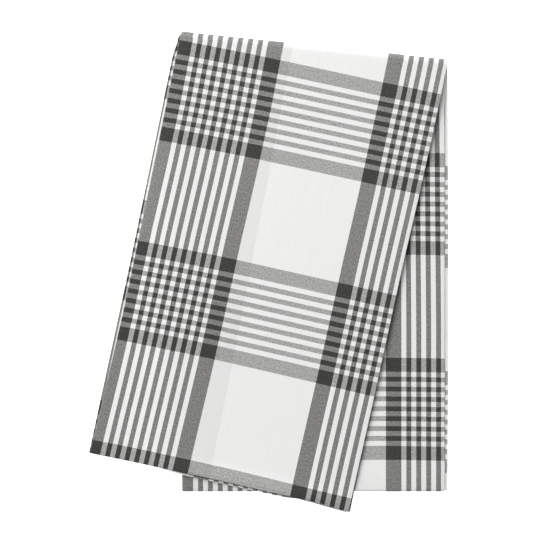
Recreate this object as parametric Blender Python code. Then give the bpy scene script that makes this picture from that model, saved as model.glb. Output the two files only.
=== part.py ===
"""A woven tablecloth, hemmed all round and folded flat into sixteen layers.

The cloth is one sheet. It is folded in half twice across its width, which makes a strip
of four layers. The strip is folded in half at the foot of the back panel, and both halves
together are brought forward over a slanted top fold, so that a flap lies turned across
the panel. The section of the strip is one back-and-forth line, and it is swept along the
strip from the hem of the outer half, round the foot and the top fold, to the hem of the
inner half. Metres, +Z up, the cloth lying on Z = 0.
"""

import math

import bmesh
import bpy
import numpy as np

# The sheet, and the step from one layer of the stack to the next.
SHEET = 0.0010
PITCH = 0.0012
# The back panel: its two folded sides and its foot, and how far the side hems stand out.
PANEL_LEFT, PANEL_RIGHT, PANEL_FOOT = -0.1186, 0.2416, -0.3010
HEM_REACH = 0.0026
# The top fold: its slant, the distance of its edge from the origin, and its extra depth.
SLANT = math.radians(6.0)
TOP_REACH = 0.3156
FOLD_BULGE = 0.0012
# The flap: its turn from the panel, and its length down the left and the right side.
FLAP_TURN = math.radians(11.85)
FLAP_LEFT_LENGTH, FLAP_RIGHT_LENGTH = 0.5752, 0.6176
# The inner half of the flap shows past the outer half, at the left and at the hem. Low
# down the left side of the outer half spreads over it.
INNER_LEAN, INNER_DROP = 0.0050, 0.0014
OUTER_LEAN, OUTER_LEAN_START = 0.0028, 0.55
# How the flap settles: off the top fold's bulge, and down past the panel's outline.
LIFT_RUN = 0.18
FLAP_CLEARANCE = 0.0004
SAG_START, SAG_RUN = 0.010, 0.080
# Steps of the mesh. COLUMNS are distances from the strip's left side.
COLUMNS = (0.012, 0.028, 0.046, 0.066, 0.088, 0.112, 0.138, 0.168, 0.206, 0.254, 0.308)
SIDE_FOLD_STEPS, WIDE_FOLD_STEPS = 4, 6
FOOT_STEPS, INNER_ROLL_STEPS, OUTER_ROLL_STEPS = 8, 6, 8
PANEL_STEPS = 3
FLAP_ROWS = (
    0.0, 0.05, 0.11, 0.18, 0.25, 0.32, 0.40, 0.48, 0.56, 0.64, 0.72, 0.80, 0.87, 0.93, 0.97, 1.0
)

LAYERS_IN_STRIP = 4
STRIP_DEPTH = LAYERS_IN_STRIP * PITCH
PANEL_DEPTH = 2 * STRIP_DEPTH
# Radius of each fold at the middle of the strip that goes round it.
FOOT_RADIUS = STRIP_DEPTH / 2
INNER_ROLL = STRIP_DEPTH / 2 + FOLD_BULGE
OUTER_ROLL = STRIP_DEPTH * 3 / 2 + FOLD_BULGE
HALF_STRIP = (STRIP_DEPTH - PITCH + SHEET) / 2

ALONG_FOLD = np.array([math.cos(SLANT), -math.sin(SLANT)])
ACROSS_FOLD = np.array([math.sin(SLANT), math.cos(SLANT)])
DOWN_FLAP = np.array([-math.sin(FLAP_TURN), -math.cos(FLAP_TURN)])
# The axes that the folds turn round.
FOOT_AXIS = PANEL_FOOT + FOOT_RADIUS + HALF_STRIP
TOP_AXIS = TOP_REACH - OUTER_ROLL - HALF_STRIP
TOP_AXIS_HEIGHT = PANEL_DEPTH + FOLD_BULGE


def smooth(value):
    """0 below 0, 1 above 1 and an even S between them."""
    value = np.clip(value, 0.0, 1.0)
    return value * value * (3.0 - 2.0 * value)


def arc(centre, radius, start, end, steps):
    """Points round a centre, each with the direction that points away from it."""
    points = []
    for angle in np.linspace(start, end, steps + 1):
        away = np.array([math.cos(angle), math.sin(angle)])
        points.append((np.array(centre) + radius * away, away))
    return points


def straight(level, facing, leftward):
    """The points of one layer between its folds."""
    columns = [PANEL_LEFT + column for column in COLUMNS]
    if leftward:
        columns.reverse()
    return [(np.array([column, level]), np.array([0.0, facing])) for column in columns]


def strip_section(lean):
    """The closed outline of the strip's section: places across the strip, and levels.

    Its left side stands out by lean. The middle line runs from one side hem through the third, second, first and fourth
    layer to the other hem. The outline goes along one side of it and back on the other.
    """
    step = PITCH / 2
    left = PANEL_LEFT + HALF_STRIP - lean
    right = PANEL_RIGHT - (step + SHEET / 2)
    hem = PANEL_RIGHT + HEM_REACH
    quarter = math.pi / 2
    line = [(np.array([hem, -step]), np.array([0.0, -1.0]))]
    line += straight(-step, -1.0, leftward=True)
    line += arc((left, 0.0), step, -quarter, -3 * quarter, SIDE_FOLD_STEPS)
    line += straight(step, 1.0, leftward=False)
    bend = arc((right, 2 * step), step, -quarter, quarter, SIDE_FOLD_STEPS)
    line += [(point, -away) for point, away in bend]
    line += straight(3 * step, -1.0, leftward=True)
    bend = arc((left, 0.0), 3 * step, quarter, 3 * quarter, WIDE_FOLD_STEPS)
    line += [(point, -away) for point, away in bend]
    line += straight(-3 * step, 1.0, leftward=False)
    line += [(np.array([hem, -3 * step]), np.array([0.0, 1.0]))]
    one_side = [point + away * SHEET / 2 for point, away in line]
    other_side = [point - away * SHEET / 2 for point, away in line]
    return np.array(one_side + other_side[::-1])


def fold_place(across, turned):
    """Distance along the top fold of a place across the strip, once it has turned."""
    reach = TOP_AXIS + OUTER_ROLL * turned
    return across / math.cos(SLANT) - math.tan(SLANT) * reach


def foot_row(turned, lean=0.0):
    """A row of the fold at the panel's foot, from under it (-90 degrees) to the top."""
    section = strip_section(lean)
    radius = FOOT_RADIUS + section[:, 1]
    y = FOOT_AXIS - radius * math.cos(turned)
    z = PANEL_DEPTH / 2 + radius * math.sin(turned)
    return np.column_stack([section[:, 0], y, z])


def roll_row(turned, outer, lean=0.0):
    """A row of the top fold, from the back panel (0 degrees) to the flap."""
    section = strip_section(lean)
    level = section[:, 1] if outer else -section[:, 1]
    radius = (OUTER_ROLL if outer else INNER_ROLL) + level
    place = fold_place(section[:, 0], turned)
    reach = TOP_AXIS + radius * math.sin(turned)
    flat = np.outer(place, ALONG_FOLD) + np.outer(reach, ACROSS_FOLD)
    return np.column_stack([flat, TOP_AXIS_HEIGHT - radius * math.cos(turned)])


def panel_row(part, outer):
    """A row of the back panel, part of the way from its foot to the top fold."""
    lean = 0.0 if outer else INNER_LEAN * part
    foot = foot_row(-math.pi / 2 if outer else math.pi / 2, lean)
    top = roll_row(0.0, outer, lean)
    return foot + (top - foot) * part


def flap_length(place):
    """The flap's length at a place along the top fold."""
    left, right = fold_place(np.array([PANEL_LEFT, PANEL_RIGHT]), math.pi)
    share = (place - left) / (right - left)
    return FLAP_LEFT_LENGTH + (FLAP_RIGHT_LENGTH - FLAP_LEFT_LENGTH) * share


def flap_row(part, outer):
    """A row of the flap, part of the way from the top fold to the hem."""
    spread = smooth((part - OUTER_LEAN_START) / (1.0 - OUTER_LEAN_START))
    lean = OUTER_LEAN * spread if outer else INNER_LEAN
    section = strip_section(lean)
    level = section[:, 1] if outer else -section[:, 1]
    radius = (OUTER_ROLL if outer else INNER_ROLL) + level
    place = fold_place(section[:, 0], math.pi)
    drop = 0.0 if outer or part < 1.0 else INNER_DROP
    length = part * flap_length(place) + drop
    flat = np.outer(place, ALONG_FOLD) + TOP_AXIS * ACROSS_FOLD
    flat = flat + np.outer(length, DOWN_FLAP)
    lift = (2 * FOLD_BULGE - FLAP_CLEARANCE) * smooth(length / LIFT_RUN)
    outside = np.hypot(
        np.maximum(PANEL_LEFT - flat[:, 0], 0.0), np.maximum(PANEL_FOOT - flat[:, 1], 0.0)
    )
    sag = (PANEL_DEPTH + FLAP_CLEARANCE) * smooth((outside - SAG_START) / SAG_RUN)
    return np.column_stack([flat, TOP_AXIS_HEIGHT + radius - lift - sag])


def steps_after(start, end, steps):
    """Even steps from start to end, without the start itself."""
    return np.linspace(start, end, steps + 1)[1:]


def cloth_rows():
    """Every row, from the outer half's hem to the inner half's, and where the foot starts."""
    quarter = math.pi / 2
    rows = [flap_row(part, outer=True) for part in reversed(FLAP_ROWS)]
    rows += [roll_row(turn, outer=True) for turn in steps_after(math.pi, 0, OUTER_ROLL_STEPS)]
    rows += [panel_row(part, outer=True) for part in steps_after(1, 0, PANEL_STEPS)]
    foot_start = len(rows)
    rows += [foot_row(turn) for turn in steps_after(-quarter, quarter, FOOT_STEPS)]
    rows += [panel_row(part, outer=False) for part in steps_after(0, 1, PANEL_STEPS)]
    rows += [
        roll_row(turn, outer=False, lean=INNER_LEAN)
        for turn in steps_after(0, math.pi, INNER_ROLL_STEPS)
    ]
    rows += [flap_row(part, outer=False) for part in FLAP_ROWS[1:]]
    return rows, foot_start


def cloth_mesh():
    rows, foot_start = cloth_rows()
    section = strip_section(0.0)
    around = len(section)
    points = np.concatenate(rows)
    low, high = points.min(axis=0), points.max(axis=0)
    points = points - [(low[0] + high[0]) / 2, (low[1] + high[1]) / 2, low[2]]
    shape = bmesh.new()
    vertices = [shape.verts.new(point) for point in points]
    grid = [vertices[row * around:(row + 1) * around] for row in range(len(rows))]
    for row in range(len(rows) - 1):
        for step in range(around):
            after = (step + 1) % around
            # Layers that lie on each other are split along the same diagonal.
            rightward = section[after, 0] > section[step, 0]
            near, far = (row + 1, row) if row < foot_start else (row, row + 1)
            here, there = (step, after) if rightward else (after, step)
            corners = (grid[near][here], grid[near][there], grid[far][there], grid[far][here])
            shape.faces.new((corners[0], corners[1], corners[2]))
            shape.faces.new((corners[0], corners[2], corners[3]))
    for row in (grid[0], grid[-1]):
        for step in range(around // 2 - 1):
            facing = around - 1 - step
            shape.faces.new((row[step], row[step + 1], row[facing - 1], row[facing]))
    bmesh.ops.triangulate(shape, faces=[face for face in shape.faces if len(face.verts) == 4])
    bmesh.ops.recalc_face_normals(shape, faces=shape.faces)
    mesh = bpy.data.meshes.new("tablecloth")
    shape.to_mesh(mesh)
    shape.free()
    return mesh


def cotton():
    material = bpy.data.materials.new("cotton")
    material.use_nodes = True
    surface = material.node_tree.nodes["Principled BSDF"]
    surface.inputs["Base Color"].default_value = (0.55, 0.55, 0.54, 1.0)
    surface.inputs["Roughness"].default_value = 0.9
    surface.inputs["Metallic"].default_value = 0.0
    return material


def main():
    for old in list(bpy.data.objects):
        bpy.data.objects.remove(old, do_unlink=True)
    cloth = bpy.data.objects.new("tablecloth", cloth_mesh())
    cloth.data.materials.append(cotton())
    bpy.context.scene.collection.objects.link(cloth)


main()
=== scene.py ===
"""The looks of a folded plaid tablecloth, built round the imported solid.

The cloth is one thin sheet, laid in the folds of the solid: four layers across the strip,
two halves along it, and a flap brought forward over a slanted top fold. Every point of the
sheet keeps its place in the flat cloth, and the check and the weave are worked out from it.
"""

import math
from functools import partial

import bpy
import numpy as np
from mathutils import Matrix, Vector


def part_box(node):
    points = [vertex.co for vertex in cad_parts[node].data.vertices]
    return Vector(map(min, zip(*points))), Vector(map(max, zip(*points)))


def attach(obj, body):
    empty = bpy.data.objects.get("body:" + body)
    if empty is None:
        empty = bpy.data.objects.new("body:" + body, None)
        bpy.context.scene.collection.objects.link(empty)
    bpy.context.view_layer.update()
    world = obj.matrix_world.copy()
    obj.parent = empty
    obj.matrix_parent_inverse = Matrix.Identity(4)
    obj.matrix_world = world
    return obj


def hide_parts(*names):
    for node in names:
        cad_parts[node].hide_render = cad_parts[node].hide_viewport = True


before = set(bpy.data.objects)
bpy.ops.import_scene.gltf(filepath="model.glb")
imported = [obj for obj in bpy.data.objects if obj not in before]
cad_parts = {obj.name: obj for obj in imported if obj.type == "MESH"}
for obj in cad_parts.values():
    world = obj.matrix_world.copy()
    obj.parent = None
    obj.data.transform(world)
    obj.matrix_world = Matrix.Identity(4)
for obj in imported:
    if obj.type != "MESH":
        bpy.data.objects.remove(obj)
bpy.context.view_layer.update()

# Lengths are in metres. A part runs from 0 to 1 along the strip: from the top fold to the hem
# on the flap, and from the foot to the top fold on the panel. A share runs from 0 at the left
# side of the panel to 1 at its right. A pair for ramp says where a change starts and how far
# it runs.
QUARTER_TURN = math.pi / 2

# ---------------------------------------------------------------- the folds, as in the solid
# From one layer to the next, and the sheet's own thickness.
PITCH, SHEET = 0.00105, 0.00065
PANEL_LEFT, PANEL_RIGHT, PANEL_FOOT = -0.1187, 0.2412, -0.3005
# The slant of the top fold, and how far its outside lies from the origin, square to it.
SLANT = math.radians(6.0)
TOP_REACH = 0.3156
# The top fold bulges past the stack by this much.
FOLD_BULGE = 0.0012
# The flap hangs turned from straight down by this much, and is this long at its two sides.
FLAP_TURN = math.radians(11.85)
FLAP_LEFT_LENGTH, FLAP_RIGHT_LENGTH = 0.5783, 0.6207
# The inner half stands out past the outer half at the left, which spreads over it low down.
INNER_LEAN_TOP, INNER_LEAN, INNER_LEAN_RUN = 0.0020, 0.0046, 0.030
# It stands out by this much more at the hem.
INNER_SPREAD, INNER_SPREAD_PARTS = 0.0009, (0.5, 0.4)
OUTER_LEAN, OUTER_LEAN_START, OUTER_LEAN_POWER = 0.0043, 0.62, 1.3
# Further up it lies back from the left side by this much.
OUTER_TUCK = 0.0006
# The right side of the outer half runs in a little from the top fold to the hem.
RIGHT_OUT_PARTS = (0.0, 0.15, 0.30, 0.45, 0.75, 1.0)
RIGHT_OUT = (0.0042, 0.0048, 0.0038, 0.0018, 0.0004, -0.0020)
# The flap is a little wider at its two ends than half way.
WAIST = 0.003
# At the flap's hem both corners hang lower, the inner half peeks out in the middle, and the
# outer half's two lower layers peek out at the right.
CORNER_DROP, CORNER_RUN = 0.0035, 0.150
RIGHT_CORNER_DROP, RIGHT_CORNER_RUN = 0.0036, 0.050
INNER_DROP, INNER_DROP_RISE, INNER_DROP_FALL = 0.0030, (0.080, 0.05), (0.260, 0.04)
LOWER_DROP, LOWER_DROP_SPAN = 0.0020, (0.270, 0.05)
# Below the top fold the flap settles within this length, down to this clearance.
LIFT_RUN = 0.18
FLAP_CLEARANCE = 0.0004
# The flap's layers lie closer together away from the top fold.
FLAP_PRESS, FLAP_PRESS_PARTS = 0.25, (0.5, 0.4)
# Over the panel the outer half's hem stands up a little and the inner half's curls up. Past
# the panel both lie flat again within the last of these distances.
OUTER_HEM_LIFT, OUTER_LIFT_PARTS = 0.0034, (0.96, 0.04)
INNER_HEM_CURL, INNER_CURL_RUN = 0.0060, 0.0034
HEM_LIFT_RUN = 0.02
# Past the panel the flap sags to the floor.
SAG_SPAN = (0.010, 0.080)
# How far the side hems stand out past the right fold: on the panel, and on the flap, where
# they move over within this part of it.
PANEL_HEM_REACH, FLAP_HEM_REACH, HEM_REACH_PART = 0.0036, -0.0050, 0.25
# Half way up the panel the hems stand out by this much more.
HEM_BULGE = 0.0012

PANEL_WIDTH = PANEL_RIGHT - PANEL_LEFT
STRIP_DEPTH = 4 * PITCH
PANEL_DEPTH = 2 * STRIP_DEPTH
FOOT_RADIUS = STRIP_DEPTH / 2
INNER_ROLL = STRIP_DEPTH / 2 + FOLD_BULGE
OUTER_ROLL = STRIP_DEPTH * 3 / 2 + FOLD_BULGE
HALF_STRIP = (STRIP_DEPTH - PITCH + SHEET) / 2
# The first layer's level from the middle of the strip, and its length round half the foot.
FIRST_LEVEL = 1.5 * PITCH
FOOT_RUN = QUARTER_TURN * (FOOT_RADIUS + FIRST_LEVEL)
ALONG_FOLD = np.array([math.cos(SLANT), -math.sin(SLANT)])
ACROSS_FOLD = np.array([math.sin(SLANT), math.cos(SLANT)])
DOWN_FLAP = np.array([-math.sin(FLAP_TURN), -math.cos(FLAP_TURN)])
FOOT_AXIS = PANEL_FOOT + FOOT_RADIUS + HALF_STRIP
TOP_AXIS = TOP_REACH - OUTER_ROLL - HALF_STRIP
TOP_AXIS_HEIGHT = PANEL_DEPTH + FOLD_BULGE

# ---------------------------------------------------------------- the check
# A block is a wide stripe, fifteen thin stripes in turn light and dark, and a wide stripe.
WARP_WIDE, WARP_THIN, WARP_REPEAT = 0.02120, 0.006795, 0.2862
WEFT_WIDE, WEFT_THIN, WEFT_REPEAT = 0.01915, 0.006770, 0.2811
THIN_STRIPES = 15
# Where the right fold lies from the middle of its block of warp stripes.
FOLD_FROM_BLOCK = 0.0085
# On the flap the cloth has slid round that fold: at the top, and more at the hem, with a dip
# before this part of the flap.
FLAP_SLIDE_TOP, FLAP_SLIDE_HEM = 0.0009, 0.0024
FLAP_SLIDE_DIP, FLAP_DIP_END = 0.0008, 0.9
# The outer half is bunched by this much at its left fold.
LEFT_BUNCH, LEFT_BUNCH_RUN = 0.0011, 0.080
# Near the hem it is gathered by this much towards both sides.
HEM_BUNCH, HEM_BUNCH_PARTS = 0.0007, (0.8, 0.2)
# On its right the check slides by this much more at these parts.
RIGHT_SLIDE_PARTS = (0.0, 0.09, 0.14, 0.20, 0.33, 0.44)
RIGHT_SLIDE = (-0.0008, -0.0004, 0.0005, 0.0006, 0.0001, 0.0)
RIGHT_SLIDE_SHARES = (0.4, 0.3)
# On the panel it slides on the right, and on the left of the foot.
PANEL_RIGHT_SLIDE_PARTS = (0.38, 0.55, 0.90, 1.0)
PANEL_RIGHT_SLIDE = (0.0, 0.0008, 0.0025, 0.0)
PANEL_RIGHT_SLIDE_SHARES = (0.75, 0.15)
FOOT_SLIDE, FOOT_SLIDE_PART, FOOT_SLIDE_SHARE = -0.0011, 0.3, 0.42
# How far the first cut edge lies from the middle of the block of weft bands it runs into,
# and how far the panel's foot lies from one.
HEM_FROM_BLOCK = 0.0494
FOOT_FROM_BLOCK = 0.1648
# The panel's bands sink a little towards the right fold, and by more on round the cloth, as
# far as the side hems.
RIGHT_SAG, RIGHT_SAG_RUN = 0.0022, 0.09
SIDE_HEMS_DOWN, SIDE_HEMS_RUN = 0.0193, 0.72
# The inner half of the flap: its place in the bands, at the top fold's axis.
INNER_FLAP_FROM_BLOCK = -0.0159
# It has slid round its folds too.
INNER_SLIDE_TOP, INNER_SLIDE_HEM = 0.0014, 0.0045
# Low on the flap its bands rise by this much within this distance of the left fold.
INNER_BEND, INNER_BEND_RUN = 0.0040, 0.080

# The outer flap's bands lie below straight lines that are level with the hem: by this much
# all over, and by a wave less about half way down the flap.
BAND_LEVEL, BAND_WAVE, BAND_WAVE_ANGLE = 0.0028, 0.0006, 3.49
# They tilt down to the left near the top fold, and a little the other way near the hem.
BAND_TILT, BAND_TILT_LOSS, BAND_TILT_PARTS = 0.0032, 0.0039, (0.15, 0.6)
# They hang lower next to the left fold: everywhere, more half way, and more at the hem.
BAND_LEFT, BAND_LEFT_MIDDLE, BAND_LEFT_HEM = 0.0022, 0.0015, 0.0014
BAND_LEFT_HEM_PARTS = (0.8, 0.2)
BAND_LEFT_SHARE, BAND_LEFT_POWER = 0.39, 1.5
# They are pulled up most a fifth of the way down the flap,
BAND_PULL, BAND_PULL_PARTS, BAND_PULL_END_PARTS = 0.0009, (0.0, 0.2), (0.2, 0.45)
# hang lower on the right near the hem, and a little higher elsewhere there,
BAND_LOW, BAND_LOW_RISE = 0.0023, 0.0003
BAND_LOW_SHARES, BAND_LOW_PARTS = (0.5, 0.5), (0.62, 0.3)
# and rise at the right just under the top fold.
BAND_CORNER = 0.0005
BAND_CORNER_SHARES, BAND_CORNER_PARTS = (0.78, 0.14), (0.08, 0.07)

# ---------------------------------------------------------------- the cotton's colour
# Grey level and warmth where light or dark warp crosses light or dark weft.
LIGHT_WARP_LIGHT_WEFT, LIGHT_WARP_DARK_WEFT = (0.845, 0.003), (0.385, 0.008)
DARK_WARP_LIGHT_WEFT, DARK_WARP_DARK_WEFT = (0.2160, 0.009), (0.0485, 0.012)
# Painted sheen: the dark warp is made paler by this share around this place along the cloth,
# near the top fold.
PAINTED_SHEEN, PAINTED_SHEEN_ALONG, PAINTED_SHEEN_RUN = 0.12, 0.60, 0.22
# The stripes of the layer below darken the wide white areas by this much, and the blocks less.
SEEN_SHADE, SEEN_SHADE_IN_BLOCK = 0.085, 0.02
# That layer drifts sideways by this slope, from none at this place along the cloth, and
# beyond it by no more than the last.
SEEN_LEVEL_ALONG, SEEN_DRIFT, SEEN_LEAST_DRIFT = 0.46, 0.0320, -0.0040
# How deep the speckle of the yarn is on white, on dark weft alone and on dark warp.
SPECKLE_WHITE, SPECKLE_DARK_WEFT, SPECKLE_DARK_WARP = 0.10, 1.5, 1.8
# How deep the streaks along the warp are, and those along the weft: where both yarns are
# alike, and where one is light and one dark.
WARP_STREAK = 0.05
WEFT_STREAK_ALIKE, WEFT_STREAK_MIXED = 0.02, 0.16
# The yarns' spacing, and how deep the weave is where they are alike and where they differ.
WARP_YARN, WEFT_YARN = 0.00052, 0.00056
WEAVE_ALIKE, WEAVE_MIXED = 0.05, 0.20
# The bump is that of the weave, with this many times the speckle.
BUMP_STRENGTH, BUMP_HEIGHT, BUMP_SPECKLE = 0.35, 0.0001, 2.0

# ---------------------------------------------------------------- steps of the mesh
SIDE_FOLD_STEPS, WIDE_FOLD_STEPS = 6, 10
LAYER_STEPS = {"first": 60, "second": 24, "third": 24, "fourth": 32}
FOOT_STEPS, INNER_ROLL_STEPS, OUTER_ROLL_STEPS = 12, 10, 16
PANEL_STEPS = 30
FLAP_STEPS = 84
# The hems are rounded: insets from the edge, and the share of the thickness there.
EDGE_ROUND = (0.0, 0.00012, 0.0004)
EDGE_THICKNESS = (0.15, 0.7, 1.0)
# More insets for the inner half's curl.
CURL_INSETS = (0.0018, 0.0024, 0.0030, 0.0036)


def smooth(value):
    """0 below 0, 1 above 1 and an even S between them."""
    value = np.clip(value, 0.0, 1.0)
    return value * value * (3.0 - 2.0 * value)


def ramp(value, start_and_run):
    """0 up to the start, 1 from the end of the run and an even S between them."""
    start, run = start_and_run
    return smooth((value - start) / run)


def fade(distance, run):
    """1 at 0, falling evenly to 0 at the end of the run."""
    return np.clip(1.0 - distance / run, 0.0, 1.0)


class Section:
    """The middle line of the strip's section, from one side hem to the other.

    across and level say where each point lies, away_across and away_level which way one
    face looks, travel how far across the flat cloth it is from the right fold, thickness
    what share of the sheet's thickness it has, and from_left and share how far it is from
    the panel's left side, in metres and as a share of the panel's width.
    """

    def __init__(self, lean, hem_reach, right_out=0.0):
        step = PITCH / 2
        self.points, self.away = [], []
        left = PANEL_LEFT + HALF_STRIP - lean
        right = PANEL_RIGHT - step - SHEET / 2 + right_out
        hem = PANEL_RIGHT + hem_reach
        self.run(hem, left, -step, -1.0, "third", round_start=True)
        self.turn(left, 0.0, step, -QUARTER_TURN, -3 * QUARTER_TURN, SIDE_FOLD_STEPS, 1.0)
        self.run(left, right, step, 1.0, "second")
        self.turn(right, 2 * step, step, -QUARTER_TURN, QUARTER_TURN, SIDE_FOLD_STEPS, -1.0)
        fold = len(self.points) - 1 - SIDE_FOLD_STEPS // 2
        self.run(right, left, 3 * step, -1.0, "first")
        self.turn(left, 0.0, 3 * step, QUARTER_TURN, 3 * QUARTER_TURN, WIDE_FOLD_STEPS, -1.0)
        self.run(left, hem, -3 * step, 1.0, "fourth", round_end=True)
        self.across, self.level = np.array(self.points).T
        self.away_across, self.away_level = np.array(self.away).T
        gaps = np.hypot(np.diff(self.across), np.diff(self.level))
        travel = np.concatenate([[0.0], np.cumsum(gaps)])
        from_hem = np.minimum(travel, travel[-1] - travel)
        self.thickness = np.interp(from_hem, EDGE_ROUND, EDGE_THICKNESS)
        self.travel = travel[fold] - travel
        self.from_left = self.across - PANEL_LEFT
        self.share = self.from_left / PANEL_WIDTH

    def run(self, start, end, level, facing, layer, round_start=False, round_end=False):
        """A layer between two folds, or from a hem to a fold."""
        places = list(np.linspace(start, end, LAYER_STEPS[layer] + 1))
        sign = math.copysign(1.0, end - start)
        if round_start:
            places[:1] = [start + sign * inset for inset in EDGE_ROUND]
        else:
            places = places[1:]
        if round_end:
            places[-1:] = [end - sign * inset for inset in reversed(EDGE_ROUND)]
        for place in places:
            self.points.append((place, level))
            self.away.append((0.0, facing))

    def turn(self, across, level, radius, start, end, steps, facing):
        """A fold, as an arc after the point that the layer before it ends at."""
        for angle in np.linspace(start, end, steps + 1)[1:]:
            away = (math.cos(angle), math.sin(angle))
            self.points.append((across + radius * away[0], level + radius * away[1]))
            self.away.append((facing * away[0], facing * away[1]))


# ---------------------------------------------------------------- where the strip lies
def fold_place(across, turned):
    """Distance along the top fold of a place across the strip, once it has turned."""
    reach = TOP_AXIS + OUTER_ROLL * turned
    return across / math.cos(SLANT) - math.tan(SLANT) * reach


FLAP_LEFT, FLAP_RIGHT = fold_place(np.array([PANEL_LEFT, PANEL_RIGHT]), math.pi)
FLAP_MIDDLE = (FLAP_LEFT + FLAP_RIGHT) / 2


def flap_length(place):
    """The flap's length at a place along the top fold."""
    share = (place - FLAP_LEFT) / (FLAP_RIGHT - FLAP_LEFT)
    return FLAP_LEFT_LENGTH + (FLAP_RIGHT_LENGTH - FLAP_LEFT_LENGTH) * share


def waisted(place, part):
    """Places along the top fold, spread as the flap is that far from the fold to the hem."""
    return place + (place - FLAP_MIDDLE) * WAIST * (2.0 * part - 1.0) ** 2


def top_radius(level, outer):
    """How far a level of the strip lies from the top fold's axis."""
    return OUTER_ROLL + level if outer else INNER_ROLL - level


def flap_shape(part, across, level, outer, drop):
    """Places of the flap, part of the way from the top fold to the hem."""
    place = waisted(fold_place(across, math.pi), part)
    length = part * (flap_length(place) + drop)
    flat = np.outer(place, ALONG_FOLD) + TOP_AXIS * ACROSS_FOLD
    flat = flat + np.outer(length, DOWN_FLAP)
    lift = (2 * FOLD_BULGE - FLAP_CLEARANCE) * smooth(length / LIFT_RUN)
    past_left = np.maximum(PANEL_LEFT - flat[:, 0], 0.0)
    past_foot = np.maximum(PANEL_FOOT - flat[:, 1], 0.0)
    outside = np.hypot(past_left, past_foot)
    sag = (PANEL_DEPTH + FLAP_CLEARANCE) * ramp(outside, SAG_SPAN)
    press = 1.0 - FLAP_PRESS * ramp(part, FLAP_PRESS_PARTS)
    above_panel = (TOP_AXIS_HEIGHT + top_radius(level, outer) - lift - PANEL_DEPTH) * press
    if outer:
        hem_lift = OUTER_HEM_LIFT * ramp(part, OUTER_LIFT_PARTS)
    else:
        from_hem = (1.0 - part) * FLAP_RIGHT_LENGTH
        hem_lift = INNER_HEM_CURL * smooth(1.0 - from_hem / INNER_CURL_RUN)
    above_panel += hem_lift * (1.0 - smooth(outside / HEM_LIFT_RUN))
    return np.column_stack([flat, PANEL_DEPTH + above_panel - sag])


def roll_shape(turned, across, level, outer):
    """Places of the top fold, from the back panel (0) to the flap (half a turn)."""
    radius = top_radius(level, outer)
    place = fold_place(across, turned)
    place = place + (place - FLAP_MIDDLE) * WAIST * turned / math.pi
    reach = TOP_AXIS + radius * math.sin(turned)
    flat = np.outer(place, ALONG_FOLD) + np.outer(reach, ACROSS_FOLD)
    return np.column_stack([flat, TOP_AXIS_HEIGHT - radius * math.cos(turned)])


def foot_shape(turned, across, level):
    """Places of the fold at the panel's foot, from under it (-90 degrees) to the top."""
    radius = FOOT_RADIUS + level
    y = FOOT_AXIS - radius * math.cos(turned)
    return np.column_stack([across, y, PANEL_DEPTH / 2 + radius * math.sin(turned)])


def panel_shape(part, across, level, outer):
    """Places of the back panel, part of the way from its foot to the top fold."""
    foot = foot_shape(-QUARTER_TURN if outer else QUARTER_TURN, across, level)
    return foot + (roll_shape(0.0, across, level, outer) - foot) * part


def panel_hem_reach(part):
    """How far the side hems stand out past the right fold on the panel."""
    return PANEL_HEM_REACH + HEM_BULGE * math.sin(math.pi * part)


def flap_hem_reach(part):
    """How far the side hems stand out past the right fold on the flap."""
    moved = smooth(part / HEM_REACH_PART)
    return PANEL_HEM_REACH + (FLAP_HEM_REACH - PANEL_HEM_REACH) * moved


def corner_drop(section):
    """How much lower the flap's hem hangs near its corners."""
    left = CORNER_DROP * fade(section.from_left, CORNER_RUN)
    return left + RIGHT_CORNER_DROP * fade(PANEL_RIGHT - section.across, RIGHT_CORNER_RUN)


def outer_drop(section):
    """How much lower the outer half's hem hangs."""
    past_left = np.abs(section.travel) - PANEL_WIDTH
    return corner_drop(section) + LOWER_DROP * ramp(past_left, LOWER_DROP_SPAN)


def inner_drop(section):
    """How much lower the inner half's hem hangs."""
    rise = ramp(section.from_left, INNER_DROP_RISE)
    fall = ramp(section.from_left, INNER_DROP_FALL)
    return corner_drop(section) + INNER_DROP * rise * (1.0 - fall)


def band_sag(section, part):
    """How far the flap's bands lie below straight lines that are level with the hem."""
    share = section.share
    tilt = (BAND_TILT - BAND_TILT_LOSS * ramp(part, BAND_TILT_PARTS)) * (1.0 - share)
    near_left = fade(share, BAND_LEFT_SHARE) ** BAND_LEFT_POWER
    left = BAND_LEFT + BAND_LEFT_MIDDLE * math.sin(math.pi * part)
    left = left + BAND_LEFT_HEM * ramp(part, BAND_LEFT_HEM_PARTS)
    level = BAND_LEVEL - BAND_WAVE * math.sin(BAND_WAVE_ANGLE * part) ** 2
    level -= BAND_PULL * ramp(part, BAND_PULL_PARTS) * (1.0 - ramp(part, BAND_PULL_END_PARTS))
    low = BAND_LOW * ramp(share, BAND_LOW_SHARES) - BAND_LOW_RISE
    level = level + low * ramp(part, BAND_LOW_PARTS)
    corner = BAND_CORNER * ramp(share, BAND_CORNER_SHARES)
    level = level - corner * (1.0 - ramp(part, BAND_CORNER_PARTS))
    return level + tilt + near_left * left


def panel_bow(section):
    """How far the panel's bands bend down, towards the hems and at the right fold."""
    travel = np.abs(section.travel)
    sag = RIGHT_SAG * fade(travel, RIGHT_SAG_RUN)
    return SIDE_HEMS_DOWN * smooth(travel / SIDE_HEMS_RUN) + sag


def right_slide(section, part):
    """How far the check slides on the right of the flap, towards the left."""
    slide = np.interp(part, RIGHT_SLIDE_PARTS, RIGHT_SLIDE)
    return slide * ramp(section.share, RIGHT_SLIDE_SHARES)


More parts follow.
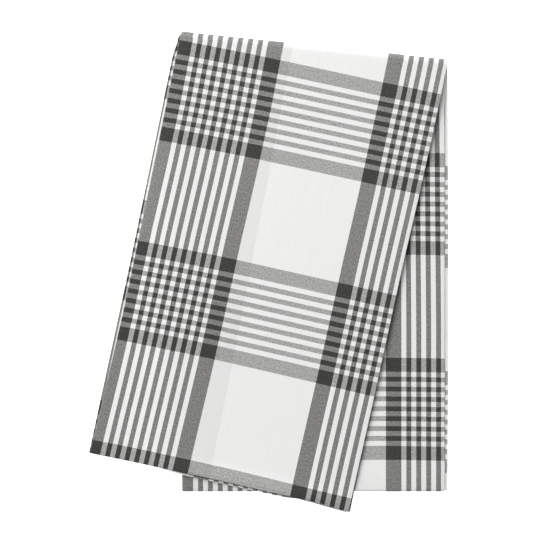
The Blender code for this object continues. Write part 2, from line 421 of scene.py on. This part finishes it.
def flap_slide(section, part):
    """How far the check slides on the flap's outer half, towards the left."""
    slide = FLAP_SLIDE_TOP + (FLAP_SLIDE_HEM - FLAP_SLIDE_TOP) * part**2
    slide -= FLAP_SLIDE_DIP * math.sin(math.pi * min(part / FLAP_DIP_END, 1.0))
    slide = slide + HEM_BUNCH * (1.0 - 2.0 * section.share) * ramp(part, HEM_BUNCH_PARTS)
    slide = slide + right_slide(section, part)
    return slide - LEFT_BUNCH * fade(section.from_left, LEFT_BUNCH_RUN)


def panel_slide(section, part):
    """How far the check slides on the panel, towards the left."""
    left = np.sqrt(fade(section.share, FOOT_SLIDE_SHARE))
    right = np.interp(part, PANEL_RIGHT_SLIDE_PARTS, PANEL_RIGHT_SLIDE)
    right = right * ramp(section.share, PANEL_RIGHT_SLIDE_SHARES)
    return FOOT_SLIDE * left * (1.0 - smooth(part / FOOT_SLIDE_PART)) + right


def in_repeat(place, from_block):
    """The nearest place that is as far as from_block from the middle of a block of bands."""
    return from_block + WEFT_REPEAT * round((place - from_block) / WEFT_REPEAT)


# ---------------------------------------------------------------- the cloth's mesh
class Cloth:
    """Rows of points round the strip, from the outer half's hem to the inner half's hem.

    Each method adds one row or one stretch of them. along is how far along the flat cloth
    the points of a row lie, and shift how far across it they have slid.
    """

    def __init__(self):
        self.rows, self.flat = [], []

    def add(self, section, shape, along, shift, inset=EDGE_ROUND[-1]):
        """One row: both faces of the sheet, this far from a cut edge, and their flat places."""
        faces = []
        thickness = SHEET * section.thickness * np.interp(inset, EDGE_ROUND, EDGE_THICKNESS)
        for side in (0.5, -0.5):
            across = section.across + side * thickness * section.away_across
            level = section.level + side * thickness * section.away_level
            faces.append(shape(across, level))
        self.rows.append(np.concatenate([faces[0], faces[1][::-1]]))
        warp = FOLD_FROM_BLOCK + section.travel + shift
        flat = np.column_stack([warp, np.broadcast_to(along, warp.shape)])
        self.flat.append(np.concatenate([flat, flat[::-1]]))

    def outer_flap_row(self, part, inset=EDGE_ROUND[-1]):
        """One row of the flap's outer half. It gives the row's along."""
        spread = np.clip((part - OUTER_LEAN_START) / (1.0 - OUTER_LEAN_START), 0.0, 1.0)
        lean = (OUTER_LEAN + OUTER_TUCK) * spread**OUTER_LEAN_POWER - OUTER_TUCK
        right_out = np.interp(part, RIGHT_OUT_PARTS, RIGHT_OUT)
        section = Section(lean, flap_hem_reach(part), right_out)
        length = flap_length(fold_place(section.across, math.pi))
        drop = outer_drop(section)
        along = HEM_FROM_BLOCK + (1.0 - part) * length - part * drop
        along = along + band_sag(section, part)
        shape = partial(flap_shape, part, outer=True, drop=drop)
        self.add(section, shape, along, flap_slide(section, part), inset)
        return along

    def inner_flap_row(self, part, flap_top, inset=EDGE_ROUND[-1]):
        """One row of the flap's inner half."""
        lean = smooth(part * FLAP_LEFT_LENGTH / INNER_LEAN_RUN)
        lean = INNER_LEAN_TOP + (INNER_LEAN - INNER_LEAN_TOP) * lean
        lean += INNER_SPREAD * ramp(part, INNER_SPREAD_PARTS)
        section = Section(lean, flap_hem_reach(part))
        drop = inner_drop(section)
        bend = INNER_BEND * smooth(section.from_left / INNER_BEND_RUN)
        along = flap_top + part * (FLAP_LEFT_LENGTH + drop + bend)
        slide = INNER_SLIDE_TOP + (INNER_SLIDE_HEM - INNER_SLIDE_TOP) * part**3
        shape = partial(flap_shape, part, outer=False, drop=drop)
        self.add(section, shape, along, slide, inset)

    def outer_flap(self):
        """The flap's outer half, from the cut edge up. It gives the last row's along."""
        for inset in EDGE_ROUND:
            self.outer_flap_row(1.0 - inset / FLAP_RIGHT_LENGTH, inset)
        for part in np.linspace(1.0, 0.0, FLAP_STEPS + 1)[1:]:
            along = self.outer_flap_row(part)
        return along

    def outer_roll(self, flap_top):
        """The outside of the top fold. It gives the last row's along."""
        for turned in np.linspace(math.pi, 0.0, OUTER_ROLL_STEPS + 1)[1:]:
            tuck = OUTER_TUCK * turned / math.pi
            near_flap = smooth(turned / QUARTER_TURN)
            section = Section(-tuck, PANEL_HEM_REACH, RIGHT_OUT[0] * near_flap)
            along = flap_top + (OUTER_ROLL + FIRST_LEVEL) * (math.pi - turned)
            slide = FLAP_SLIDE_TOP + right_slide(section, 0.0) * near_flap
            self.add(section, partial(roll_shape, turned, outer=True), along, slide)
        return along

    def lower_panel(self, panel_top, foot_along):
        """The outer half of the panel, which lies underneath, down to the foot."""
        for part in np.linspace(1.0, 0.0, PANEL_STEPS + 1)[1:]:
            section = Section(0.0, panel_hem_reach(part))
            along = panel_top * part + (foot_along - FOOT_RUN) * (1.0 - part)
            slide = FLAP_SLIDE_TOP * smooth(part)
            self.add(section, partial(panel_shape, part, outer=True), along, slide)

    def foot(self, foot_along):
        """The fold at the foot, from under it to the top."""
        section = Section(0.0, panel_hem_reach(0.0))
        for turned in np.linspace(-QUARTER_TURN, QUARTER_TURN, FOOT_STEPS + 1)[1:]:
            near_top = smooth((turned / QUARTER_TURN + 1.0) / 2)
            along = foot_along + FOOT_RUN * turned / QUARTER_TURN
            bow = panel_bow(section) * near_top
            slide = panel_slide(section, 0.0) * near_top
            self.add(section, partial(foot_shape, turned), along + bow, slide)

    def upper_panel(self, foot_along):
        """The inner half of the panel, up to the top fold. It gives the last row's along."""
        for part in np.linspace(0.0, 1.0, PANEL_STEPS + 1)[1:]:
            section = Section(INNER_LEAN_TOP * part, panel_hem_reach(part))
            top_y = (TOP_AXIS - section.across * math.sin(SLANT)) / math.cos(SLANT)
            height = (top_y - FOOT_AXIS) * part
            along = foot_along + FOOT_RUN + height + panel_bow(section)
            slide = panel_slide(section, part)
            self.add(section, partial(panel_shape, part, outer=False), along, slide)
        return along

    def inner_roll(self, panel_top, flap_top):
        """The inside of the top fold."""
        section = Section(INNER_LEAN_TOP, panel_hem_reach(1.0))
        for turned in np.linspace(0.0, math.pi, INNER_ROLL_STEPS + 1)[1:]:
            along = panel_top + (flap_top - panel_top) * turned / math.pi
            slide = INNER_SLIDE_TOP * turned / math.pi
            self.add(section, partial(roll_shape, turned, outer=False), along, slide)

    def inner_flap(self, flap_top):
        """The flap's inner half, down to the cut edge."""
        for part in np.linspace(1.0, 0.0, FLAP_STEPS + 1)[-2:0:-1]:
            self.inner_flap_row(part, flap_top)
        for inset in reversed(EDGE_ROUND + CURL_INSETS):
            self.inner_flap_row(1.0 - inset / FLAP_RIGHT_LENGTH, flap_top, inset)

    def build(self):
        """Every row, in the order of the cloth."""
        top = self.outer_roll(self.outer_flap())
        # The whole repeats between the hem and the foot set where the foot lies.
        under_foot = float(np.mean(top)) + (TOP_AXIS - FOOT_AXIS)
        foot_along = in_repeat(under_foot, FOOT_FROM_BLOCK)
        self.lower_panel(top, foot_along)
        self.foot(foot_along)
        top = self.upper_panel(foot_along)
        # The flap's inner half picks up its own place in the bands, out of sight in the fold.
        flap_top = in_repeat(float(np.mean(top)), INNER_FLAP_FROM_BLOCK)
        self.inner_roll(top, flap_top)
        self.inner_flap(flap_top)


def faces_between(count, around):
    """Quads between the rows, each a closed loop of points, and over the two cut edges."""
    row, step = np.meshgrid(np.arange(count - 1), np.arange(around), indexing="ij")
    after = (step + 1) % around
    here, there = row * around, (row + 1) * around
    quads = np.stack([here + step, there + step, there + after, here + after], axis=-1)
    caps = []
    for base, turned in ((0, False), ((count - 1) * around, True)):
        for step in range(around // 2 - 1):
            facing = around - 1 - step
            cap = [base + step, base + step + 1, base + facing - 1, base + facing]
            caps.append(cap[::-1] if turned else cap)
    return np.concatenate([quads.reshape(-1, 4), np.array(caps)])


def cloth_object(box):
    """The sheet as one object, set against the solid's box."""
    cloth = Cloth()
    cloth.build()
    rows = np.array(cloth.rows)
    points = rows.reshape(-1, 3)
    # The right side, the top fold and the underside meet those of the solid's box.
    points[:, :2] += np.array(box[1])[:2] - points[:, :2].max(axis=0)
    points[:, 2] += box[0][2] - points[:, 2].min()
    quads = faces_between(*rows.shape[:2])
    mesh = bpy.data.meshes.new("plaid_cloth")
    mesh.from_pydata(points.tolist(), [], quads.tolist())
    flat = np.concatenate(cloth.flat)[quads.reshape(-1)]
    mesh.uv_layers.new(name="Cloth").data.foreach_set("uv", flat.reshape(-1))
    mesh.polygons.foreach_set("use_smooth", np.ones(len(quads), dtype=bool))
    mesh.update()
    cloth_piece = bpy.data.objects.new("plaid_cloth", mesh)
    bpy.context.scene.collection.objects.link(cloth_piece)
    return cloth_piece


# ---------------------------------------------------------------- materials
class Nodes:
    """Short calls for the nodes of one material."""

    def __init__(self, name):
        self.material = bpy.data.materials.new(name)
        self.material.use_nodes = True
        self.tree = self.material.node_tree
        self.surface = self.tree.nodes["Principled BSDF"]

    def node(self, kind, **settings):
        made = self.tree.nodes.new(kind)
        for name, value in settings.items():
            setattr(made, name, value)
        return made

    def join(self, socket, value):
        """Links the socket to another, or gives it a constant."""
        if isinstance(value, bpy.types.NodeSocket):
            self.tree.links.new(value, socket)
        else:
            socket.default_value = value

    def set_surface(self, values):
        for name, value in values.items():
            self.surface.inputs[name].default_value = value

    def math(self, operation, *values):
        made = self.node("ShaderNodeMath", operation=operation)
        for socket, value in zip(made.inputs, values):
            self.join(socket, value)
        return made.outputs[0]

    def mix(self, share, first, second, kind="RGBA"):
        made = self.node("ShaderNodeMix", data_type=kind)
        self.join(made.inputs["Factor"], share)
        self.join(made.inputs["A"], first)
        self.join(made.inputs["B"], second)
        return made.outputs["Result"]

    def mix_number(self, share, first, second):
        return self.mix(share, first, second, kind="FLOAT")

    def scaled(self, colour, factor):
        made = self.node("ShaderNodeVectorMath", operation="SCALE")
        self.join(made.inputs[0], colour)
        self.join(made.inputs["Scale"], factor)
        return made.outputs[0]

    def noise(self, place, scale, detail, across, along):
        """A noise from 0 to 1 that changes faster across or along the cloth."""
        stretch = self.node("ShaderNodeVectorMath", operation="MULTIPLY")
        self.join(stretch.inputs[0], place)
        stretch.inputs[1].default_value = (across, along, 1.0)
        made = self.node("ShaderNodeTexNoise")
        self.join(made.inputs["Vector"], stretch.outputs[0])
        made.inputs["Scale"].default_value = scale
        made.inputs["Detail"].default_value = detail
        return made.outputs["Fac"]

    def swing(self, noise, depth):
        """The noise as a number either side of 0, that deep."""
        return self.math("MULTIPLY", self.math("SUBTRACT", noise, 0.5), depth)


def grey(level, warmth):
    """A near grey, with a little more red and less blue by its warmth."""
    return (level * (1 + warmth), level, level * (1 - 2 * warmth), 1.0)


def stripes(nodes, place, thin, wide, repeat):
    """1 where the yarn at this place is dark, else 0; and 1 in a block, wide stripes and all."""
    block = THIN_STRIPES * thin / 2
    from_middle = nodes.math("PINGPONG", place, repeat / 2)
    from_stripe = nodes.math("ADD", from_middle, thin / 2)
    turn = nodes.math("FRACT", nodes.math("DIVIDE", from_stripe, 2 * thin))
    dark_thin = nodes.math("LESS_THAN", turn, 0.5)
    in_block = nodes.math("LESS_THAN", from_middle, block)
    in_wide = nodes.math("LESS_THAN", from_middle, block + wide)
    wide_only = nodes.math("SUBTRACT", in_wide, in_block)
    dark = nodes.math("ADD", nodes.math("MULTIPLY", dark_thin, in_block), wide_only)
    return dark, in_wide


def woven_colour(nodes, along, dark_warp, dark_weft):
    """The colour of each crossing of warp and weft, with a painted sheen that makes the dark
    warp paler near the top fold.
    """
    light = nodes.mix(dark_weft, grey(*LIGHT_WARP_LIGHT_WEFT), grey(*LIGHT_WARP_DARK_WEFT))
    dark = nodes.mix(dark_weft, grey(*DARK_WARP_LIGHT_WEFT), grey(*DARK_WARP_DARK_WEFT))
    # Painted sheen: the dark warp is made paler around the top fold, where the light catches it.
    away = nodes.math("DIVIDE", nodes.math("SUBTRACT", along, PAINTED_SHEEN_ALONG), PAINTED_SHEEN_RUN)
    squared = nodes.math("MULTIPLY", away, away)
    near_fold = nodes.math("EXPONENT", nodes.math("MULTIPLY", squared, -1.0))
    painted_sheen = nodes.math("ADD", nodes.math("MULTIPLY", near_fold, PAINTED_SHEEN), 1.0)
    return nodes.mix(dark_warp, light, nodes.scaled(dark, painted_sheen))


def seen_through(nodes, across, along, warp_block):
    """What the layer below leaves of the light: its stripes, turned over at the fold."""
    below = nodes.math("SUBTRACT", 2 * FOLD_FROM_BLOCK, across)
    drift = nodes.math("MULTIPLY", nodes.math("SUBTRACT", SEEN_LEVEL_ALONG, along), SEEN_DRIFT)
    below = nodes.math("ADD", below, nodes.math("MAXIMUM", drift, SEEN_LEAST_DRIFT))
    _, shown = stripes(nodes, below, WARP_THIN, WARP_WIDE, WARP_REPEAT)
    depth = nodes.mix_number(warp_block, SEEN_SHADE, SEEN_SHADE_IN_BLOCK)
    return nodes.math("SUBTRACT", 1.0, nodes.math("MULTIPLY", shown, depth))


def cotton_check():
    """The check and the weave, worked out from each point's place in the flat cloth."""
    nodes = Nodes("cotton_check")
    flat = nodes.node("ShaderNodeUVMap", uv_map="Cloth").outputs["UV"]
    split = nodes.node("ShaderNodeSeparateXYZ")
    nodes.join(split.inputs[0], flat)
    across, along = split.outputs["X"], split.outputs["Y"]
    dark_warp, warp_block = stripes(nodes, across, WARP_THIN, WARP_WIDE, WARP_REPEAT)
    dark_weft, _ = stripes(nodes, along, WEFT_THIN, WEFT_WIDE, WEFT_REPEAT)
    colour = woven_colour(nodes, along, dark_warp, dark_weft)
    shade = seen_through(nodes, across, along, warp_block)

    # Uneven yarn.
    speckle = nodes.noise(flat, scale=460.0, detail=2.0, across=1.25, along=0.8)
    streak = nodes.noise(flat, scale=300.0, detail=1.0, across=1.0, along=0.04)
    weft_streak = nodes.noise(flat, scale=420.0, detail=1.0, across=0.03, along=1.0)
    mixed = nodes.math("ABSOLUTE", nodes.math("SUBTRACT", dark_warp, dark_weft))
    speckle_depth = nodes.mix_number(dark_weft, SPECKLE_WHITE, SPECKLE_DARK_WEFT)
    speckle_depth = nodes.mix_number(dark_warp, speckle_depth, SPECKLE_DARK_WARP)
    weft_depth = nodes.mix_number(mixed, WEFT_STREAK_ALIKE, WEFT_STREAK_MIXED)
    # The weave itself.
    warp_wave = nodes.math("SINE", nodes.math("MULTIPLY", across, math.pi / WARP_YARN))
    weft_wave = nodes.math("SINE", nodes.math("MULTIPLY", along, math.pi / WEFT_YARN))
    weave = nodes.math("MULTIPLY", warp_wave, weft_wave)
    weave_depth = nodes.mix_number(mixed, WEAVE_ALIKE, WEAVE_MIXED)

    uneven = nodes.swing(speckle, speckle_depth)
    uneven = nodes.math("ADD", uneven, nodes.swing(streak, WARP_STREAK))
    uneven = nodes.math("ADD", uneven, nodes.swing(weft_streak, weft_depth))
    uneven = nodes.math("ADD", uneven, nodes.math("MULTIPLY", weave, weave_depth))
    factor = nodes.math("MULTIPLY", nodes.math("ADD", uneven, 1.0), shade)
    nodes.join(nodes.surface.inputs["Base Color"], nodes.scaled(colour, factor))
    nodes.set_surface({
        "Roughness": 0.92,
        "Specular IOR Level": 0.2,
        "Sheen Weight": 0.08,
        "Sheen Roughness": 0.5,
    })
    bump = nodes.node("ShaderNodeBump")
    bump.inputs["Strength"].default_value = BUMP_STRENGTH
    bump.inputs["Distance"].default_value = BUMP_HEIGHT
    height = nodes.math("ADD", weave, nodes.math("MULTIPLY", speckle, BUMP_SPECKLE))
    nodes.join(bump.inputs["Height"], height)
    nodes.join(nodes.surface.inputs["Normal"], bump.outputs["Normal"])
    return nodes.material


def pale_floor():
    nodes = Nodes("pale_floor")
    nodes.set_surface({
        "Base Color": (0.93, 0.93, 0.93, 1.0),
        "Roughness": 0.9,
        "Specular IOR Level": 0.0,
        "Emission Color": (1.0, 1.0, 1.0, 1.0),
        "Emission Strength": 0.85,
    })
    return nodes.material


# ---------------------------------------------------------------- the scene
def add_camera(lens, sensor_width, place):
    """A camera that looks straight down."""
    camera = bpy.data.cameras.new("camera")
    camera.lens = lens
    camera.sensor_width = sensor_width
    placed = bpy.data.objects.new("camera", camera)
    placed.location = place
    bpy.context.scene.collection.objects.link(placed)
    bpy.context.scene.camera = placed


def add_disk(name, place, size, watts):
    """A round light that points at the part."""
    light = bpy.data.lights.new(name, "AREA")
    light.shape = "DISK"
    light.size = size
    light.energy = watts
    placed = bpy.data.objects.new(name, light)
    placed.location = place
    placed.rotation_euler = (-placed.location).to_track_quat("-Z", "Y").to_euler()
    bpy.context.scene.collection.objects.link(placed)


def add_world(strength):
    world = bpy.data.worlds.new("studio")
    bpy.context.scene.world = world
    world.use_nodes = True
    background = world.node_tree.nodes["Background"]
    background.inputs["Color"].default_value = (1.0, 1.0, 1.0, 1.0)
    background.inputs["Strength"].default_value = strength


def add_floor(half):
    mesh = bpy.data.meshes.new("floor")
    corners = [(-half, -half, 0.0), (half, -half, 0.0), (half, half, 0.0), (-half, half, 0.0)]
    mesh.from_pydata(corners, [], [(0, 1, 2, 3)])
    floor = bpy.data.objects.new("floor", mesh)
    floor.data.materials.append(pale_floor())
    bpy.context.scene.collection.objects.link(floor)


bpy.context.scene.view_settings.view_transform = "Standard"
add_camera(lens=146.2, sensor_width=36.0, place=(0.0002, 0.0007, 3.011))
add_world(strength=0.25)
add_disk("key", place=(-2.30, 1.70, 4.70), size=3.8, watts=248.0)
add_disk("low_light", place=(-1.20, 6.30, 2.30), size=2.0, watts=184.0)
add_floor(half=3.0)
cloth_piece = cloth_object(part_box("tablecloth"))
cloth_piece.data.materials.append(cotton_check())
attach(cloth_piece, "root")
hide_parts("tablecloth")
